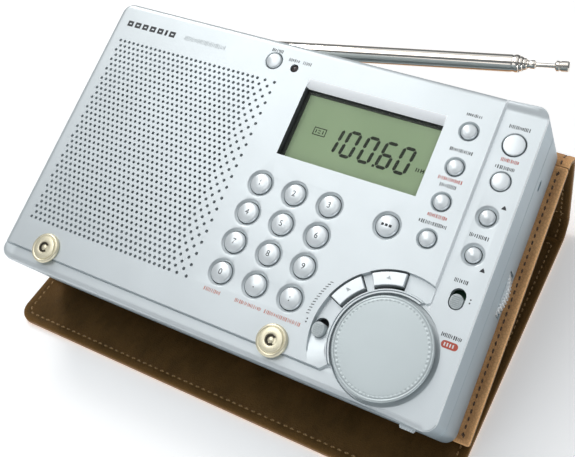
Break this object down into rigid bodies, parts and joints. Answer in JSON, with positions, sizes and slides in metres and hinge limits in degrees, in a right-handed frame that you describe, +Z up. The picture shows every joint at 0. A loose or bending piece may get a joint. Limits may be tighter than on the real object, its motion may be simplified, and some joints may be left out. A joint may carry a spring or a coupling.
{
  "type": "portable radio",
  "caption": "Slim silver pocket world-band radio with keypad, display, tuning knob and telescopic antenna, leaning on its fold-over leather cover.",
  "frame": {"origin": "centre of the underside of the leather flap that the radio stands on, on the table", "axes": "+X to the radio's right as its face is read, along its width; +Y away from the reader; +Z up. The face looks up and towards -Y."},
  "size_m": [0.147, 0.1129, 0.0666],
  "materials": {
    "silver_body": "silver metallic lacquer, satin",
    "silver_key": "bright silver metallic lacquer",
    "grey_plastic": "ribbed grey plastic",
    "clear_window": "clear, polished",
    "display_green": "olive liquid crystal display",
    "dark_plastic": "dark, matt",
    "circuit_board": "green solder mask",
    "rubber": "matt",
    "steel": "plated",
    "paper_cone": "coated black paper",
    "chrome": "polished",
    "stud_metal": "pale gilt",
    "ferrite": "dark grey",
    "cell_jacket": "plain coloured sleeve",
    "leather": "brown, grained, stitched"
  },
  "bodies": {
    "radio": {"front_cover": "silver_body", "rear_cover": "silver_body", "display_window": "clear_window", "display_panel": "display_green", "speaker_frame": "steel", "speaker_cone": "paper_cone", "main_circuit_board": "circuit_board", "keypad_mat": "rubber", "ferrite_rod": "ferrite", "battery_cell_1": "cell_jacket", "battery_cell_2": "cell_jacket", "battery_cell_3": "cell_jacket", "signal_lamp": "dark_plastic", "snap_stud_1": "stud_metal", "snap_stud_2": "stud_metal", "cover_screw_1": "stud_metal", "cover_screw_2": "stud_metal", "antenna_pin": "chrome", "cover_back_board": "leather"},
    "rear_crease": {"cover_rear_crease": "leather"},
    "spine": {"cover_spine_board": "leather"},
    "front_crease": {"cover_front_crease": "leather"},
    "flap": {"cover_flap": "leather", "snap_socket_1": "stud_metal", "snap_socket_2": "stud_metal"},
    "antenna_1": {"antenna_mast": "chrome"},
    "antenna_2": {"antenna_section_2": "chrome"},
    "antenna_3": {"antenna_section_3": "chrome"},
    "antenna_4": {"antenna_section_4": "chrome"},
    "antenna_5": {"antenna_tip": "chrome"},
    "knob": {"tuning_knob": "silver_key"},
    "wheel": {"volume_wheel": "grey_plastic"},
    "door": {"battery_door": "silver_body"},
    "lock_slide": {"key_lock_slider": "grey_plastic"},
    "tuning_lock_slide": {"tuning_lock_slider": "grey_plastic"},
    "range_slide": {"range_switch": "grey_plastic"},
    "key_1_body": {"key_1": "silver_key"},
    "key_2_body": {"key_2": "silver_key"},
    "key_3_body": {"key_3": "silver_key"},
    "key_4_body": {"key_4": "silver_key"},
    "key_5_body": {"key_5": "silver_key"},
    "key_6_body": {"key_6": "silver_key"},
    "key_7_body": {"key_7": "silver_key"},
    "key_8_body": {"key_8": "silver_key"},
    "key_9_body": {"key_9": "silver_key"},
    "key_dot_body": {"key_dot": "silver_key"},
    "key_0_body": {"key_0": "silver_key"},
    "key_enter_body": {"key_enter": "silver_key"},
    "program_key_body": {"program_key": "silver_key"},
    "mode_button_body": {"mode_button": "silver_key"},
    "page_button_body": {"page_button": "silver_key"},
    "memory_button_body": {"memory_button": "silver_key"},
    "select_button_body": {"select_button": "silver_key"},
    "power_button_body": {"power_button": "silver_key"},
    "display_button_body": {"display_button": "silver_key"},
    "alarm_1_button_body": {"alarm_1_button": "silver_key"},
    "alarm_2_button_body": {"alarm_2_button": "silver_key"},
    "light_button_body": {"light_button": "silver_key"},
    "tuning_up_button_body": {"tuning_up_button": "silver_key"},
    "tuning_down_button_body": {"tuning_down_button": "silver_key"}
  },
  "joints": [
    {"name": "rear_lower_fold", "type": "hinge", "parent": "radio", "child": "rear_crease", "pos_m": [0, 0.04692, 0.0366], "axis": [-1, 0, 0], "range_deg": [-101.25, 0]},
    {"name": "rear_upper_fold", "type": "hinge", "parent": "rear_crease", "child": "spine", "pos_m": [0, 0.0508, 0.03401], "axis": [-1, 0, 0], "range_deg": [-101.25, 0]},
    {"name": "foot_rear_fold", "type": "hinge", "parent": "spine", "child": "front_crease", "pos_m": [0, 0.0508, 0.0044], "axis": [-1, 0, 0], "range_deg": [-90, 0]},
    {"name": "foot_front_fold", "type": "hinge", "parent": "front_crease", "child": "flap", "pos_m": [0, 0.0475, 0.0011], "axis": [-1, 0, 0], "range_deg": [-90.7, 0]},
    {"name": "antenna_raise", "type": "hinge", "parent": "radio", "child": "antenna_1", "pos_m": [-0.0635, 0.04096, 0.04733], "axis": [0, -0.3827, 0.9239], "range_deg": [-10.8, 94.2]},
    {"name": "antenna_section_2_slide", "type": "slide", "parent": "antenna_1", "child": "antenna_2", "axis": [0.9823, 0.1731, 0.0717], "range_m": [0, 0.1]},
    {"name": "antenna_section_3_slide", "type": "slide", "parent": "antenna_2", "child": "antenna_3", "axis": [0.9823, 0.1731, 0.0717], "range_m": [0, 0.098]},
    {"name": "antenna_section_4_slide", "type": "slide", "parent": "antenna_3", "child": "antenna_4", "axis": [0.9823, 0.1731, 0.0717], "range_m": [0, 0.096]},
    {"name": "antenna_tip_slide", "type": "slide", "parent": "antenna_4", "child": "antenna_5", "axis": [0.9823, 0.1731, 0.0717], "range_m": [-0.005, 0.095]},
    {"name": "tuning_knob_turn", "type": "hinge", "parent": "radio", "child": "knob", "pos_m": [0.051, -0.03144, 0.03867], "axis": [0, -0.3827, 0.9239], "continuous": true},
    {"name": "volume_wheel_turn", "type": "hinge", "parent": "radio", "child": "wheel", "pos_m": [0.057, 0.00269, 0.02683], "axis": [0, -0.3827, 0.9239], "range_deg": [-140, 140]},
    {"name": "battery_door_slide", "type": "slide", "parent": "radio", "child": "door", "axis": [1, 0, 0], "range_m": [0, 0.005]},
    {"name": "key_lock_slide", "type": "slide", "parent": "radio", "child": "lock_slide", "axis": [0, 0.9239, 0.3827], "range_m": [0, 0.0013]},
    {"name": "tuning_lock_slide_move", "type": "slide", "parent": "radio", "child": "tuning_lock_slide", "axis": [0, 0.9239, 0.3827], "range_m": [0, 0.0013]},
    {"name": "range_switch_slide", "type": "slide", "parent": "radio", "child": "range_slide", "axis": [1, 0, 0], "range_m": [0, 0.002]},
    {"name": "program_key_press", "type": "slide", "parent": "radio", "child": "program_key_body", "axis": [0, 0.3827, -0.9239], "range_m": [0, 0.0006], "stiffness_N_per_m": 400, "springref_m": -0.0005},
    {"name": "power_button_press", "type": "slide", "parent": "radio", "child": "power_button_body", "axis": [0, 0.3827, -0.9239], "range_m": [0, 0.0006], "stiffness_N_per_m": 400, "springref_m": -0.0005},
    {"name": "light_button_press", "type": "slide", "parent": "radio", "child": "light_button_body", "axis": [0, 0.3827, -0.9239], "range_m": [0, 0.0006], "stiffness_N_per_m": 400, "springref_m": -0.0005},
    {"name": "tuning_up_button_press", "type": "slide", "parent": "radio", "child": "tuning_up_button_body", "axis": [0, 0.3827, -0.9239], "range_m": [0, 0.0006], "stiffness_N_per_m": 400, "springref_m": -0.0005},
    {"name": "tuning_down_button_press", "type": "slide", "parent": "radio", "child": "tuning_down_button_body", "axis": [0, 0.3827, -0.9239], "range_m": [0, 0.0006], "stiffness_N_per_m": 400, "springref_m": -0.0005},
    {"name": "mode_button_press", "type": "slide", "parent": "radio", "child": "mode_button_body", "axis": [0, 0.3827, -0.9239], "range_m": [0, 0.0006], "stiffness_N_per_m": 400, "springref_m": -0.0005},
    {"name": "page_button_press", "type": "slide", "parent": "radio", "child": "page_button_body", "axis": [0, 0.3827, -0.9239], "range_m": [0, 0.0006], "stiffness_N_per_m": 400, "springref_m": -0.0005},
    {"name": "memory_button_press", "type": "slide", "parent": "radio", "child": "memory_button_body", "axis": [0, 0.3827, -0.9239], "range_m": [0, 0.0006], "stiffness_N_per_m": 400, "springref_m": -0.0005},
    {"name": "select_button_press", "type": "slide", "parent": "radio", "child": "select_button_body", "axis": [0, 0.3827, -0.9239], "range_m": [0, 0.0006], "stiffness_N_per_m": 400, "springref_m": -0.0005},
    {"name": "display_button_press", "type": "slide", "parent": "radio", "child": "display_button_body", "axis": [0, 0.3827, -0.9239], "range_m": [0, 0.0006], "stiffness_N_per_m": 400, "springref_m": -0.0005},
    {"name": "alarm_1_button_press", "type": "slide", "parent": "radio", "child": "alarm_1_button_body", "axis": [0, 0.3827, -0.9239], "range_m": [0, 0.0006], "stiffness_N_per_m": 400, "springref_m": -0.0005},
    {"name": "alarm_2_button_press", "type": "slide", "parent": "radio", "child": "alarm_2_button_body", "axis": [0, 0.3827, -0.9239], "range_m": [0, 0.0006], "stiffness_N_per_m": 400, "springref_m": -0.0005},
    {"name": "key_1_press", "type": "slide", "parent": "radio", "child": "key_1_body", "axis": [0, 0.3827, -0.9239], "range_m": [0, 0.0006], "stiffness_N_per_m": 400, "springref_m": -0.0005},
    {"name": "key_2_press", "type": "slide", "parent": "radio", "child": "key_2_body", "axis": [0, 0.3827, -0.9239], "range_m": [0, 0.0006], "stiffness_N_per_m": 400, "springref_m": -0.0005},
    {"name": "key_3_press", "type": "slide", "parent": "radio", "child": "key_3_body", "axis": [0, 0.3827, -0.9239], "range_m": [0, 0.0006], "stiffness_N_per_m": 400, "springref_m": -0.0005},
    {"name": "key_4_press", "type": "slide", "parent": "radio", "child": "key_4_body", "axis": [0, 0.3827, -0.9239], "range_m": [0, 0.0006], "stiffness_N_per_m": 400, "springref_m": -0.0005},
    {"name": "key_5_press", "type": "slide", "parent": "radio", "child": "key_5_body", "axis": [0, 0.3827, -0.9239], "range_m": [0, 0.0006], "stiffness_N_per_m": 400, "springref_m": -0.0005},
    {"name": "key_6_press", "type": "slide", "parent": "radio", "child": "key_6_body", "axis": [0, 0.3827, -0.9239], "range_m": [0, 0.0006], "stiffness_N_per_m": 400, "springref_m": -0.0005},
    {"name": "key_7_press", "type": "slide", "parent": "radio", "child": "key_7_body", "axis": [0, 0.3827, -0.9239], "range_m": [0, 0.0006], "stiffness_N_per_m": 400, "springref_m": -0.0005},
    {"name": "key_8_press", "type": "slide", "parent": "radio", "child": "key_8_body", "axis": [0, 0.3827, -0.9239], "range_m": [0, 0.0006], "stiffness_N_per_m": 400, "springref_m": -0.0005},
    {"name": "key_9_press", "type": "slide", "parent": "radio", "child": "key_9_body", "axis": [0, 0.3827, -0.9239], "range_m": [0, 0.0006], "stiffness_N_per_m": 400, "springref_m": -0.0005},
    {"name": "key_dot_press", "type": "slide", "parent": "radio", "child": "key_dot_body", "axis": [0, 0.3827, -0.9239], "range_m": [0, 0.0006], "stiffness_N_per_m": 400, "springref_m": -0.0005},
    {"name": "key_0_press", "type": "slide", "parent": "radio", "child": "key_0_body", "axis": [0, 0.3827, -0.9239], "range_m": [0, 0.0006], "stiffness_N_per_m": 400, "springref_m": -0.0005},
    {"name": "key_enter_press", "type": "slide", "parent": "radio", "child": "key_enter_body", "axis": [0, 0.3827, -0.9239], "range_m": [0, 0.0006], "stiffness_N_per_m": 400, "springref_m": -0.0005}
  ]
}
